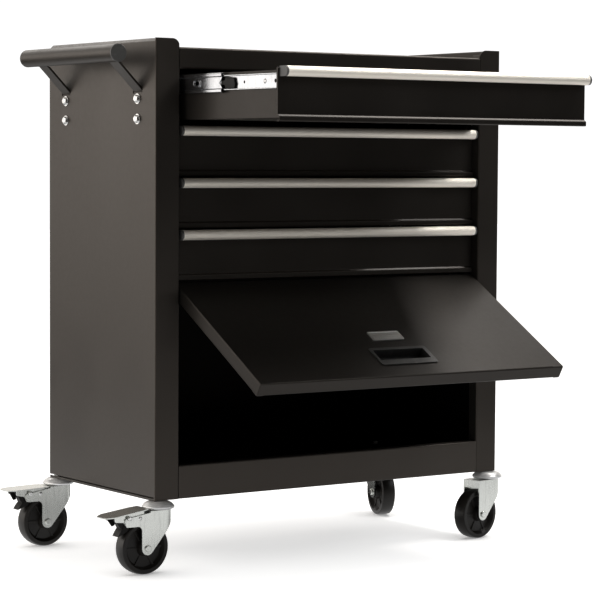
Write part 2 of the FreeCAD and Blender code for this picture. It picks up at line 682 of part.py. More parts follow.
def wheel():
    """Moulded wheel: crowned tread, recessed discs with ribs, and a hub bored for the axle."""
    bore = AXLE_RADIUS + RUNNING
    rim = WHEEL_RADIUS - 3
    half = WHEEL_HALF
    crown = Vector(WHEEL_RADIUS, 0, 0)
    shoulder = WHEEL_RADIUS - 0.9
    ring = [(bore, 12.3), (10, 12.3), (12, 5), (27, 4), (30, 8.8), (31, half), (rim, half)]
    edges = []
    for a, b in zip(ring, ring[1:]):
        edges.append(Part.makeLine(Vector(a[0], 0, a[1]), Vector(b[0], 0, b[1])))
    right = [Vector(rim, 0, half), Vector(shoulder - 0.5, 0, half - 0.6), Vector(shoulder, 0, half - 2)]
    edges.append(Part.Arc(*right).toShape())
    edges.append(Part.Arc(Vector(shoulder, 0, half - 2), crown, Vector(shoulder, 0, 2 - half)).toShape())
    left = [Vector(v.x, 0, -v.z) for v in reversed(right)]
    edges.append(Part.Arc(*left).toShape())
    for a, b in zip(ring[::-1], ring[-2::-1]):
        edges.append(Part.makeLine(Vector(a[0], 0, -a[1]), Vector(b[0], 0, -b[1])))
    edges.append(Part.makeLine(Vector(bore, 0, -ring[0][1]), Vector(bore, 0, ring[0][1])))
    body = Part.Face(Part.Wire(edges)).revolve(Vector(0, 0, 0), Vector(0, 0, 1), 360)
    ribs = []
    for i in range(6):
        rib = box(10.8, 29, -1.3, 1.3, -5.9, 5.9)
        rib.rotate(Vector(0, 0, 0), Vector(0, 0, 1), 60 * i)
        ribs.append(rib)
    body = joined(body, *ribs)
    body.rotate(Vector(0, 0, 0), Vector(1, 0, 0), 90)
    body.translate(Vector(-TRAIL, 0, AXLE_Z))
    return body


def caster_pin(radius, head, thick, x, z):
    """Headed pin across the fork: the axle, or the one that the brake pedal turns on."""
    reach = FORK_HALF + HEAD_GAP
    pin = rod(radius, (x, -reach, z), (x, reach, z))
    for side in (-1, 1):
        cap = rod(head, (x, side * reach, z), (x, side * (reach + thick), z))
        rims = [edge for edge in cap.Edges if edge.Closed and abs(edge.CenterOfMass.y) > reach + thick / 2]
        pin = joined(pin, cap.makeFillet(thick * 0.4, rims))
    return pin


def brake_pin():
    """Plain pin that the brake pedal turns on, through the fork's arms and the pedal's cheeks."""
    x, z = PEDAL_PIVOT
    reach = FORK_HALF + 1.2
    return rod(BRAKE_PIN, (x, -reach, z), (x, reach, z))


def pedal_top(x):
    """Height of the pedal's upper face, which falls slightly towards its tip."""
    return FORK_TOP + 0.5 - (PEDAL_FRONT - x) * PEDAL_FALL


def pedal_under(x):
    return pedal_top(x) - PEDAL_SHEET


def brake_bore():
    x, z = PEDAL_PIVOT
    return rod(BRAKE_PIN + RUNNING, (x, -PEDAL_HALF, z), (x, PEDAL_HALF, z))


def brake_pedal():
    """Stamped brake pedal: a long tread plate with two cheeks between the fork's arms, hung on its pin."""
    tread = [(PEDAL_FRONT, pedal_top(PEDAL_FRONT)), (PEDAL_TIP, pedal_top(PEDAL_TIP))]
    tread += [(PEDAL_TIP, pedal_under(PEDAL_TIP)), (PEDAL_FRONT, pedal_under(PEDAL_FRONT))]
    outline = [(PEDAL_FRONT, -16, 2), (-34, 1 - PEDAL_HALF, 4)]
    outline += [(PEDAL_TIP + 12, -PEDAL_HALF, 10), (PEDAL_TIP, -12, 7)]
    outline += [(u, -v, r) for u, v, r in reversed(outline)]
    top = plate("XZ", tread, -PEDAL_HALF, PEDAL_HALF).common(plate("XY", outline, -40, 0))
    cheek = [(-31, pedal_top(-31) - 0.5), (-31, -22, 3), (-45, -25, 3), (-50, -32.5, 3)]
    cheek += [(-61, -32.5, 3), (-65, -24.5, 2), (-78, -22, 2), (-78, pedal_top(-78) - 0.5)]
    inside = FORK_HALF - FORK_SHEET - CHEEK_GAP
    sides = [plate("XZ", cheek, inside - PEDAL_SHEET, inside)]
    sides.append(plate("XZ", cheek, -inside, PEDAL_SHEET - inside))
    return joined(top, *sides).cut(brake_bore())


def pressed_tread(radius, half):
    """Round of the wheel's tread as the released pedal sees it, set back by the pedal's press."""
    tread = rod(radius, (-TRAIL, -half, AXLE_Z), (-TRAIL, half, AXLE_Z))
    x, z = PEDAL_PIVOT
    tread.rotate(Vector(x, 0, z), Vector(0, 1, 0), PEDAL_PRESS)
    return tread


def brake_shoe():
    """Moulded shoe under the pedal, whose curved pad meets the tread when the pedal is down."""
    clear = pressed_tread(WHEEL_RADIUS + 0.3, 20)
    pad = plate("XZ", [(-72, -47), (-53, -38), (-53, -22), (-72, -22)], -8, 8)
    x, z = PEDAL_PIVOT
    pad.rotate(Vector(x, 0, z), Vector(0, 1, 0), PEDAL_PRESS)
    pad = pad.common(pressed_tread(WHEEL_RADIUS + 9, 8)).cut(clear)
    saddle = plate("XZ", [(-65.5, pedal_under(-65.5)), (-65.5, -31), (-70, -32), (-76, -22),
                          (-76, pedal_under(-76))], -12.6, 12.6)
    hollow = plate("XZ", [(-64, -16.5), (-64, -36), (-80, -36), (-80, -18)], -10.9, 10.9)
    web = [(-51, pedal_under(-51)), (-51, -32), (-55, -35), (-64, -37), (-73, pedal_under(-73))]
    shoe = joined(saddle.cut(hollow), plate("XZ", web, -7, 7).cut(clear), pad)
    return shoe.cut(brake_bore())


# ---- assembly ----
def add(name, *pieces):
    NODES[name] = Part.makeCompound(list(pieces)) if len(pieces) > 1 else pieces[0]


def build_cabinet():
    add("left_side_panel", pin_hole_in_return(left_panel()))
    add("right_side_panel", mirrored(pin_hole_in_return(side_panel())))
    add("back_panel", back_panel())
    add("top_front_rail", top_front_rail())
    add("top_tray", top_tray())
    add("bottom_front_rail", bottom_front_rail())
    add("base_pan", base_pan())
    add("flap_header", flap_header())
    uprights = [slide_upright(30), slide_upright(235)]
    add("slide_uprights", *uprights, *[mirrored(shape) for shape in uprights])
    members = [slide_outer(pull_top(number)) for number in DRAWERS]
    add("slide_outer_members", *members, *[mirrored(shape) for shape in members])


def build_drawers():
    for number in DRAWERS:
        top = pull_top(number)
        add(f"drawer_{number}_box", pulled(drawer_box(number), number))
        add(f"drawer_{number}_pull", pulled(drawer_pull(top), number))
        cap = pulled(pull_cap(top), number)
        add(f"drawer_{number}_pull_caps", cap, mirrored(cap))
        inner = pulled(slide_inner(top), number)
        add(f"slide_{number}_inner", inner, mirrored(inner))
        middle = pulled(slide_middle(top), number, share=0.5)
        add(f"slide_{number}_middle", middle, mirrored(middle))


def build_flap():
    add("flap_panel", opened(flap_panel()))
    add("flap_cup_pull", opened(flap_cup()))
    add("flap_badge", opened(flap_badge()))
    pin = hinge_pin()
    add("flap_hinge_pins", pin, mirrored(pin))


def build_handle():
    places = [(y, z) for y in HANDLE_ARMS for z in HANDLE_BOLT_Z]
    add("handle_bar", handle_tube())
    add("handle_bar_caps", handle_cap(HANDLE_ENDS[0], -1), handle_cap(HANDLE_ENDS[1], 1))
    add("handle_arm_front", handle_arm(HANDLE_ARMS[0]))
    add("handle_arm_rear", handle_arm(HANDLE_ARMS[1]))
    add("handle_bolts", *[bolt(y, z) for y, z in places])
    add("handle_washers", *[washer(y, z) for y, z in places])
    add("handle_nuts", *[nut(y, z) for y, z in places])


def build_casters():
    add("caster_stems", *[settle(stem(), x, y, 0) for _, x, y, _, _ in CASTERS])
    add("caster_stem_nuts", *[settle(stem_nut(), x, y, 0) for _, x, y, _, _ in CASTERS])
    for name, x, y, turn, braked in CASTERS:
        pins = [caster_pin(AXLE_RADIUS, AXLE_HEAD, 2.4, -TRAIL, AXLE_Z)]
        if braked:
            pins.append(brake_pin())
            add(f"{name}_brake_pedal", settle(pressed(brake_pedal(), name), x, y, turn))
            add(f"{name}_brake_shoe", settle(pressed(brake_shoe(), name), x, y, turn))
        add(f"{name}_fork", settle(fork(braked), x, y, turn))
        add(f"{name}_wheel", settle(wheel(), x, y, turn))
        add(f"{name}_axle", *[settle(pin, x, y, turn) for pin in pins])


def save_all():
    """Move the origin to the bottom centre of the whole cart and write one STEP file for each node."""
    whole = Part.makeCompound(list(NODES.values())).optimalBoundingBox(False, False)
    shift = Vector(-(whole.XMin + whole.XMax) / 2, -(whole.YMin + whole.YMax) / 2, -whole.ZMin)
    os.makedirs("parts", exist_ok=True)
    for name, shape in NODES.items():
        shape.translate(shift)
        shape.exportStep(f"parts/{name}.step")
    print("nodes", len(NODES), "origin moved by", [round(value, 3) for value in shift])


build_cabinet()
build_drawers()
build_flap()
build_handle()
build_casters()
save_all()
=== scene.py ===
"""Looks of the tool cart: finishes, small moulded and rolling pieces, floor, soft light and the camera."""
import json
import math

import bmesh
import bpy
from mathutils import Matrix, Vector


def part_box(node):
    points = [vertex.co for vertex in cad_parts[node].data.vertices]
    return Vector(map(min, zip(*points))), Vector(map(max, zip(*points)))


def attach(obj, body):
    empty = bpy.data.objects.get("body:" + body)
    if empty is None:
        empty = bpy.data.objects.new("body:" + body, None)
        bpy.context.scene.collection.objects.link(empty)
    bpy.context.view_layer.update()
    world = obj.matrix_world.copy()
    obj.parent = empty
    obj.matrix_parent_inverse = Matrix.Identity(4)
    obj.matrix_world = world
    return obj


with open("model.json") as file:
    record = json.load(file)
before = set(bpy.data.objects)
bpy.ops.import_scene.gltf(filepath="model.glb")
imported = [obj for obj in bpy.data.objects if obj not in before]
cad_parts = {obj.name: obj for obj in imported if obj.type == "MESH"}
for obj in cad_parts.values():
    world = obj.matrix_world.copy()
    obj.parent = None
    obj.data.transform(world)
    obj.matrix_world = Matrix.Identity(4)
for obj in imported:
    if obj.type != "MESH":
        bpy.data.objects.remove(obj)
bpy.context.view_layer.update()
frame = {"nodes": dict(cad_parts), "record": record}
NODES = frame["nodes"]
MM = 0.001
DRAWERS = (1, 2, 3, 4)
SIDES = (-1, 1)
BRAKED = ("front_left", "rear_left")

# ---- camera, in metres and degrees ----
CAMERA_PLACE = (-1.9652, -2.8313, 0.5824)
CAMERA_YAW = 34.68
CAMERA_PITCH = 3.43
CAMERA_ROLL = 0.34
CAMERA_LENS = 140.6

# ---- the floor's bounce, painted as a glowing pool: distances in metres over which it fades, and how bright it is ----
POOL_FADE = (0.85, 2.4)
POOL_BRIGHT = 1.0
POOL_DARK = 0.02
# Floor behind the right-hand casters, where the glowing pool is cut to painted shade.
BEHIND_LOW = (0.05, 0.34, -1)
BEHIND_HIGH = (0.45, 1.5, 1)
BEHIND_SHADE = 0.05
# Painted shade under the cart: the share of the floor's glow left there, in the bounce and in the white seen
# by the camera.
UNDER_SHADE = 0.25
UNDER_PAINTED_SHADOW = 0.76

# ---- surroundings and lights ----
BACKDROP = 0.95
AMBIENT = 0.035
CEILING = 2.25

# ---- how far the rolled fold at a drawer's foot leans forward from level ----
TOP_FOOT_LEAN = math.radians(66)
FOOT_LEAN = math.radians(60)

# ---- slide pieces, in millimetres. Across is measured from the cabinet's side face, up from the slide's
# middle, and along from the front end of the slide member that carries the piece ----
OUTER_BALLS = {"along": (125, 195), "across": 45.0, "up": 15.0, "radius": 1.35, "web": 41.8}
INNER_BALLS = {"along": (3, 73), "across": 46.9, "up": 11.25, "radius": 1.1, "web": 45.3}
EYELET = {"along": 62.0, "across": 42.75, "straight": 3.4, "round": 4.4, "bead": 0.5}
LEVER = {"along": (109, 154), "across": (46.0, 48.8), "half": 8.3}
RIVET = {"along": (39.4, 240.4), "across": 49.0}
BALLS_IN_ROW = 7

# ---- thin strips and small details, in metres ----
STRIP_HALF = 0.00025
STRIP_EASE = 0.0001
CROSS_STRIP = 0.004
CROSS_HALF = 0.00018
LEVER_SHOULDER = 0.0230
LEVER_NECK = 0.0255
LEVER_EASE = 0.0004
WELD_TURNS = (-58, -30)
WELD_BEADS = 9
WELD_SIZE = 0.0014

# ---- profiles of turned heads: (radius, height) pairs in metres ----
SLIDE_RIVET_HEAD = [(0, -0.0006), (0.0026, -0.0006), (0.0026, 0.0002), (0.0022, 0.0006), (0.0012, 0.0008),
                    (0.0009, 0.0005), (0, 0.0004)]
PIN_HEAD = [(0, -0.0012), (0.0033, -0.0012), (0.0034, -0.0004), (0.0028, 0.0003), (0.0014, 0.0005),
            (0, 0.0002)]
FORK_RIVET_HEAD = [(0, -0.0004), (0.0030, -0.0002), (0.0027, 0.0004), (0.0018, 0.0010), (0.0006, 0.0012),
                   (0, 0.0008)]
# From the brake pin to the rivet beside it, along X and Z.
FORK_RIVET_OFFSET = (0.0177, -0.0016)

# ---- the lower compartment, whose walls and the hardware in it get painted shade: a near-black, dull coat ----
DOORWAY_LOW, DOORWAY_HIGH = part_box("bottom_front_rail")
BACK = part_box("back_panel")[1].y
PAINTED_SHADE_BOX = (
    (DOORWAY_LOW.x - 0.0385, DOORWAY_LOW.y + 0.0195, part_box("base_pan")[1].z - 0.0012),
    (DOORWAY_HIGH.x + 0.0385, BACK - 0.0005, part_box("flap_header")[1].z),
)


# ---- node materials ----
class Finish:
    """A node material being built. Positions are the object's own, in metres."""

    def __init__(self, name):
        self.material = bpy.data.materials.new(name)
        self.material.use_nodes = True
        self.tree = self.material.node_tree
        self.surface = self.tree.nodes["Principled BSDF"]
        self.place = self.node("ShaderNodeTexCoord").outputs["Object"]
        self.normal = None

    def node(self, kind, **settings):
        made = self.tree.nodes.new(kind)
        for key, value in settings.items():
            setattr(made, key, value)
        return made

    def feed(self, socket, value):
        """Join a socket to another node's output, or give it a plain value."""
        if isinstance(value, bpy.types.NodeSocket):
            self.tree.links.new(value, socket)
        else:
            socket.default_value = value

    def noise(self, scale, detail=3.0, stretch=(1, 1, 1)):
        """Noise from 0 to 1 whose features are about 1/scale metres across; stretch multiplies each axis."""
        mapping = self.node("ShaderNodeMapping")
        self.feed(mapping.inputs["Vector"], self.place)
        mapping.inputs["Scale"].default_value = stretch
        made = self.node("ShaderNodeTexNoise")
        self.feed(made.inputs["Vector"], mapping.outputs["Vector"])
        made.inputs["Scale"].default_value = scale
        made.inputs["Detail"].default_value = detail
        return made.outputs["Fac"]

    def remap(self, value, low, high, out_low=0.0, out_high=1.0):
        made = self.node("ShaderNodeMapRange")
        inputs = (value, low, high, out_low, out_high)
        for name, entry in zip(("Value", "From Min", "From Max", "To Min", "To Max"), inputs):
            self.feed(made.inputs[name], entry)
        return made.outputs["Result"]

    def sum(self, kind, first, second):
        made = self.node("ShaderNodeMath", operation=kind)
        self.feed(made.inputs[0], first)
        self.feed(made.inputs[1], second)
        return made.outputs["Value"]

    def blend(self, factor, first, second):
        """Colour that goes from first to second with factor."""
        made = self.node("ShaderNodeMix", data_type="RGBA")
        self.feed(made.inputs["Factor"], factor)
        for socket, colour in zip((made.inputs[6], made.inputs[7]), (first, second)):
            self.feed(socket, colour if isinstance(colour, bpy.types.NodeSocket) else (*colour, 1))
        return made.outputs[2]

    def within(self, low, high):
        """1 inside the box between two corners and 0 outside it."""
        parts = self.node("ShaderNodeSeparateXYZ")
        self.feed(parts.inputs["Vector"], self.place)
        mask = 1.0
        for axis, start, end in zip("XYZ", low, high):
            for kind, limit in (("GREATER_THAN", start), ("LESS_THAN", end)):
                mask = self.sum("MULTIPLY", mask, self.sum(kind, parts.outputs[axis], limit))
        return mask

    def spread(self, centre, reach):
        """Level distance from a centre: 1 on the ellipse that reaches so far along X and Y."""
        mapping = self.node("ShaderNodeMapping")
        self.feed(mapping.inputs["Vector"], self.place)
        mapping.inputs["Scale"].default_value = (1 / reach[0], 1 / reach[1], 0)
        mapping.inputs["Location"].default_value = (-centre[0] / reach[0], -centre[1] / reach[1], 0)
        length = self.node("ShaderNodeVectorMath", operation="LENGTH")
        self.feed(length.inputs[0], mapping.outputs["Vector"])
        return length.outputs["Value"]

    def soften_edges(self, radius):
        """Round the shading of sharp edges; gives back a mask that is 1 along them."""
        bevel = self.node("ShaderNodeBevel", samples=4)
        bevel.inputs["Radius"].default_value = radius
        self.normal = bevel.outputs["Normal"]
        true_normal = self.node("ShaderNodeNewGeometry").outputs["Normal"]
        dot = self.node("ShaderNodeVectorMath", operation="DOT_PRODUCT")
        self.feed(dot.inputs[0], self.normal)
        self.feed(dot.inputs[1], true_normal)
        return self.remap(dot.outputs["Value"], 0.995, 0.85)

    def bump(self, height, depth, strength=1.0):
        """Raise the surface by up to depth metres where height is 1."""
        made = self.node("ShaderNodeBump")
        made.inputs["Strength"].default_value = strength
        made.inputs["Distance"].default_value = depth
        self.feed(made.inputs["Height"], height)
        if self.normal:
            self.feed(made.inputs["Normal"], self.normal)
        self.normal = made.outputs["Normal"]

    def done(self, colour, roughness, metallic=0.0, **extra):
        values = {"Base Color": colour, "Roughness": roughness, "Metallic": metallic, **extra}
        for name, value in values.items():
            if isinstance(value, tuple):
                value = (*value, 1)
            self.feed(self.surface.inputs[name], value)
        if self.normal:
            self.feed(self.surface.inputs["Normal"], self.normal)
        return self.material


def powder_coat(name="powder_coat", painted_light_scale=1.0, gloss=0.46, foot_lean=None):
    """Semi-gloss black coating: fine orange peel, faint cloudiness, slightly rubbed edges, and painted shade
    that turns it near black and dull in the lower compartment.

    With foot_lean, the sloping fold at a drawer's foot is shaded as a smooth roll of that lean."""
    f = Finish(name)
    edge = f.soften_edges(0.0007)
    cloud = f.noise(7, detail=4)
    speck = f.noise(1800, detail=1)
    tones = (0.0155, 0.0138, 0.0122), (0.0198, 0.0177, 0.0157)
    # The colour scale brightens the coat as painted light above 1 and darkens it as painted shade below 1.
    dark, light = ([channel * painted_light_scale for channel in tone] for tone in tones)
    body = f.blend(f.remap(cloud, 0.35, 0.65), dark, light)
    body = f.blend(f.remap(speck, 0.62, 0.75, 0, 0.35), body, (0.042, 0.038, 0.033))
    rubbed = f.sum("MULTIPLY", edge, f.remap(f.noise(60), 0.35, 0.7, 0.05, 0.5))
    body = f.blend(rubbed, body, (0.080, 0.073, 0.065))
    # Painted shade: in the lower compartment the coat is turned near black.
    inside = f.within(*PAINTED_SHADE_BOX)
    body = f.blend(inside, body, (0.004, 0.0038, 0.0036))
    rough = f.remap(cloud, 0.3, 0.7, 0.34, 0.42)
    rough = f.sum("ADD", rough, f.remap(f.noise(140, detail=2), 0.3, 0.7, -0.02, 0.03))
    if foot_lean:
        facing = f.node("ShaderNodeSeparateXYZ")
        f.feed(facing.inputs["Vector"], f.node("ShaderNodeNewGeometry").outputs["True Normal"])
        forward = f.remap(facing.outputs["Y"], -0.3, -0.45)
        fold = f.sum("MULTIPLY", forward, f.remap(facing.outputs["Z"], 0.6, 0.75))
        rough = f.remap(fold, 0, 1, rough, 0.13)
        rolled = f.node("ShaderNodeMix", data_type="VECTOR")
        f.feed(rolled.inputs["Factor"], fold)
        f.feed(rolled.inputs[4], f.normal)
        rolled.inputs[5].default_value = (0, -math.sin(foot_lean), math.cos(foot_lean))
        f.normal = rolled.outputs[1]
        gloss = f.remap(fold, 0, 1, gloss, 1.0)
    f.bump(f.noise(620, detail=2), 0.00005, 0.55)
    # Painted shade also takes almost all the shine off the coat in the compartment.
    shine = f.remap(inside, 0, 1, gloss, 0.04)
    return f.done(body, rough, **{"Specular IOR Level": shine, "Specular Tint": (1.0, 0.86, 0.74)})


def drawn_aluminium():
    """Satin anodised pull: fine lines drawn along its length, which spread its highlights up and down."""
    f = Finish("pull_aluminium")
    edge = f.soften_edges(0.0004)
    lines = f.noise(1, detail=4, stretch=(6, 2600, 2600))
    tone = f.blend(f.remap(lines, 0.3, 0.7), (1.0, 0.915, 0.80), (1.0, 0.96, 0.88))
    tone = f.blend(f.sum("MULTIPLY", edge, 0.5), tone, (0.99, 0.97, 0.94))
    rough = f.remap(lines, 0.3, 0.7, 0.44, 0.58)
    f.bump(lines, 0.00003, 0.5)
    along = f.node("ShaderNodeCombineXYZ")
    along.inputs["X"].default_value = 1
    return f.done(tone, rough, 0.78, Tangent=along.outputs["Vector"],
                  **{"Anisotropic": 0.7, "Anisotropic Rotation": 0.25})


def moulded_plastic(name, dark, light, rough, gloss=0.5):
    """Moulded plastic with a fine spark-eroded texture and a few paler scuffs."""
    f = Finish(name)
    edge = f.soften_edges(0.0005)
    grain = f.noise(1500, detail=2)
    scuff = f.remap(f.noise(90, detail=5), 0.58, 0.72, 0, 0.5)
    tone = f.blend(f.remap(grain, 0.35, 0.65), dark, light)
    worn = f.sum("MAXIMUM", scuff, f.sum("MULTIPLY", edge, 0.4))
    tone = f.blend(worn, tone, [channel * 1.9 + 0.01 for channel in light])
    f.bump(grain, 0.00005, 0.6)
    sheen = f.remap(f.noise(70), 0.3, 0.7, rough - 0.06, rough + 0.08)
    return f.done(tone, sheen, **{"Specular IOR Level": gloss})


def zinc(name, dark, light, rough, mottle=22):
    """Zinc plating: pale mottling, faint upright streaks, brighter edges; painted shade turns it near black
    in the compartment.
    """
    f = Finish(name)
    edge = f.soften_edges(0.0004)
    patch = f.noise(mottle, detail=5)
    fine = f.noise(900, detail=2)
    streak = f.noise(1, detail=3, stretch=(420, 420, 40))
    tone = f.blend(f.remap(patch, 0.3, 0.7), dark, light)
    tone = f.blend(f.remap(streak, 0.52, 0.8, 0, 0.6), tone, [channel * 0.72 for channel in dark])
    tone = f.blend(f.sum("MULTIPLY", edge, 0.5), tone, [channel * 0.5 + 0.48 for channel in light])
    # Painted shade: zinc in the lower compartment is turned near black.
    tone = f.blend(f.within(*PAINTED_SHADE_BOX), tone, (0.004, 0.004, 0.004))
    shade = f.remap(patch, 0.3, 0.7, rough - 0.05, rough + 0.07)
    shade = f.sum("ADD", shade, f.remap(fine, 0.3, 0.7, -0.03, 0.04))
    f.bump(f.sum("ADD", fine, f.sum("MULTIPLY", patch, 2.0)), 0.00004, 0.2)
    return f.done(tone, shade, 1.0)


def chrome():
    """Polished plating on the bearing domes, with hairline marks."""
    f = Finish("dome_chrome")
    f.soften_edges(0.0005)
    haze = f.noise(160, detail=4)
    tone = f.blend(f.remap(haze, 0.35, 0.65), (0.86, 0.87, 0.87), (0.95, 0.95, 0.95))
    f.bump(f.noise(1, detail=3, stretch=(200, 200, 2400)), 0.00001, 0.5)
    return f.done(tone, f.remap(haze, 0.3, 0.7, 0.28, 0.42), 0.4)


def badge_plate():
    """Plain bright plate with a brushed field."""
    f = Finish("badge_metal")
    f.soften_edges(0.0003)
    lines = f.noise(1, detail=4, stretch=(12, 2200, 2200))
    tone = f.blend(f.remap(lines, 0.3, 0.7), (0.66, 0.66, 0.65), (0.90, 0.90, 0.89))
    f.bump(lines, 0.00003, 0.6)
    return f.done(tone, f.remap(lines, 0.3, 0.7, 0.26, 0.42), 1.0)


def wheel_polymer():
    """Brown-black satin polymer with faint scuffs and dust on the tread."""
    f = Finish("wheel_polymer")
    edge = f.soften_edges(0.0008)
    smear = f.noise(45, detail=5)
    grain = f.noise(1300, detail=2)
    tone = f.blend(f.remap(smear, 0.35, 0.7), (0.0085, 0.0072, 0.0062), (0.017, 0.0148, 0.0125))
    tone = f.blend(f.sum("MULTIPLY", edge, 0.3), tone, (0.050, 0.045, 0.040))
    tone = f.blend(f.remap(grain, 0.64, 0.8, 0, 0.4), tone, (0.045, 0.040, 0.035))
    f.bump(f.sum("ADD", grain, f.sum("MULTIPLY", smear, 1.5)), 0.00006, 0.5)
    return f.done(tone, f.remap(smear, 0.3, 0.7, 0.32, 0.48), **{"Specular IOR Level": 0.30})


FINISHES = {
    "powder_coat": powder_coat(),
    "pull_aluminium": drawn_aluminium(),
    "cap_plastic": moulded_plastic("cap_plastic", (0.060, 0.058, 0.056), (0.085, 0.083, 0.080), 0.42),
    "cup_plastic": moulded_plastic("cup_plastic", (0.018, 0.018, 0.017), (0.030, 0.030, 0.029), 0.36),
    "badge_metal": badge_plate(),
    "slide_steel": zinc("slide_steel", (0.40, 0.41, 0.43), (0.62, 0.63, 0.65), 0.20, mottle=30),
    "zinc_hardware": zinc("zinc_hardware", (0.72, 0.72, 0.71), (0.88, 0.88, 0.87), 0.24, mottle=60),
    "zinc_pressing": zinc("zinc_pressing", (0.66, 0.675, 0.645), (0.78, 0.79, 0.755), 0.25, mottle=13),
    "dome_chrome": chrome(),
    "wheel_polymer": wheel_polymer(),
    "shoe_plastic": moulded_plastic("shoe_plastic", (0.005, 0.0045, 0.004), (0.010, 0.009, 0.008), 0.5, 0.2),
}


# Nodes with a coat of their own: the sill's paler colour is painted light and the flap's darker colour is
# painted shade; the drawers and the left panel differ only in gloss.
# Painted light: the sill's coat is made 1.65 times paler.
COATS = {"bottom_front_rail": powder_coat("powder_coat_sill_painted_light", 1.65)}
DRAWER_COAT = powder_coat("powder_coat_drawer", 1.0, 0.26, FOOT_LEAN)
COATS.update({f"drawer_{number}_box": DRAWER_COAT for number in DRAWERS})
COATS["drawer_1_box"] = powder_coat("powder_coat_top_drawer", 1.0, 0.22, TOP_FOOT_LEAN)
# Painted shade: the flap's coat is darkened to 0.55 of the rest.
COATS["flap_panel"] = powder_coat("powder_coat_flap_painted_shade", 0.55, 0.22)
COATS["left_side_panel"] = powder_coat("powder_coat_left", 1.0, 0.52)


def dress_cad_nodes():
    """Give every CAD node its own coat, or else the finish of its slot in the record."""
    for part in frame["record"]["subparts"]:
        node = NODES[part["node"]]
        finish = COATS.get(part["node"], FINISHES[part["material_slot"]])
        if not node.data.materials:
            node.data.materials.append(finish)
        for entry in node.material_slots:
            entry.material = finish


# ---- mesh-made pieces ----
def piece(name, mesh, body, slot, crisp=35):
    """Turn a bmesh that is already in place into a named piece that rides on a body.

    It is shaded smooth, and edges sharper than crisp degrees stay crisp."""
    bmesh.ops.recalc_face_normals(mesh, faces=mesh.faces)
    data = bpy.data.meshes.new(name)
    mesh.to_mesh(data)
    mesh.free()
    for face in data.polygons:
        face.use_smooth = True
    data.set_sharp_from_angle(angle=math.radians(crisp))
    data.materials.append(FINISHES[slot])
    made = bpy.data.objects.new(name, data)
    bpy.context.scene.collection.objects.link(made)
    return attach(made, body)


def turned(mesh, profile, matrix, steps=28):
    """Add a body of revolution: profile holds (radius, height) pairs, from the axis round to the axis."""
    rings = []
    for radius, height in profile:
        if radius < 1e-9:
            rings.append([mesh.verts.new(matrix @ Vector((0, 0, height)))] * steps)
            continue
        turns = [2 * math.pi * i / steps for i in range(steps)]
        ring = [Vector((radius * math.cos(turn), radius * math.sin(turn), height)) for turn in turns]
        rings.append([mesh.verts.new(matrix @ point) for point in ring])
    for low, high in zip(rings, rings[1:]):
        for i in range(steps):
            k = (i + 1) % steps
            corners = list(dict.fromkeys((low[i], low[k], high[k], high[i])))
            if len(corners) > 2:
                mesh.faces.new(corners)


def slab(mesh, outline, low, high, matrix, bevel=0.0):
    """Add a plate: outline holds (u, v) corners, low and high its faces along w, all in metres."""
    own = bmesh.new()
    bottom = [own.verts.new((u, v, low)) for u, v in outline]
    own.faces.new(bottom)
    raised = bmesh.ops.extrude_face_region(own, geom=own.faces[:])
    corners = [part for part in raised["geom"] if isinstance(part, bmesh.types.BMVert)]
    bmesh.ops.translate(own, vec=(0, 0, high - low), verts=corners)
    bmesh.ops.recalc_face_normals(own, faces=own.faces)
    if bevel:
        bmesh.ops.bevel(own, geom=own.edges[:], offset=bevel, segments=2, affect="EDGES", profile=0.6)
    own.transform(matrix)
    held = bpy.data.meshes.new("slab")
    own.to_mesh(held)
    own.free()
    mesh.from_mesh(held)
    bpy.data.meshes.remove(held)


def block(mesh, low, high, bevel=0.0):
    """Add a block between two corners, with its edges eased."""
    outline = [(low[0], low[1]), (high[0], low[1]), (high[0], high[1]), (low[0], high[1])]
    slab(mesh, outline, low[2], high[2], Matrix.Identity(4), bevel)


def slide_frames(number):
    """For each side of a drawer: the sign of its side, the side face's X, and the slide's middle height."""
    low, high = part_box("left_side_panel")[0].x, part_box("right_side_panel")[1].x
    inner_low, inner_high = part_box(f"slide_{number}_inner")
    height = (inner_low.z + inner_high.z) / 2
    return [(1, low, height), (-1, high, height)]


def ball_retainers(number):
    """Two strips of steel on each side that hold the slide's balls, moving with its middle member."""
    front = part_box(f"slide_{number}_middle")[0].y
    for row, run in (("outer", OUTER_BALLS), ("inner", INNER_BALLS)):
        strips = bmesh.new()
        balls = bmesh.new()
        start, stop = (front + MM * along for along in run["along"])
        for side, face, height in slide_frames(number):
            across = face + side * MM * run["across"]
            web = face + side * MM * run["web"]
            reach = MM * (run["up"] + 0.25)
            for lift in SIDES:
                z = height + lift * MM * run["up"]
                inward, outward = sorted((web, across + side * 0.0014))
                block(strips, (inward, start, z - STRIP_HALF), (outward, stop, z + STRIP_HALF), STRIP_EASE)
                for i in range(BALLS_IN_ROW):
                    y = start + 0.005 + i * (stop - start - 0.010) / (BALLS_IN_ROW - 1)
                    place = Matrix.Translation((across, y, z))
                    bmesh.ops.create_uvsphere(balls, u_segments=14, v_segments=10, radius=MM * run["radius"],
                                              matrix=place)
            for y in (start, stop - CROSS_STRIP):
                low = (web - CROSS_HALF, y, height - reach)
                high = (web + CROSS_HALF, y + CROSS_STRIP, height + reach)
                block(strips, low, high, STRIP_EASE)
        piece(f"slide_{number}_{row}_retainers", strips, f"slide_{number}", "slide_steel")
        piece(f"slide_{number}_{row}_balls", balls, f"slide_{number}", "zinc_hardware", 80)


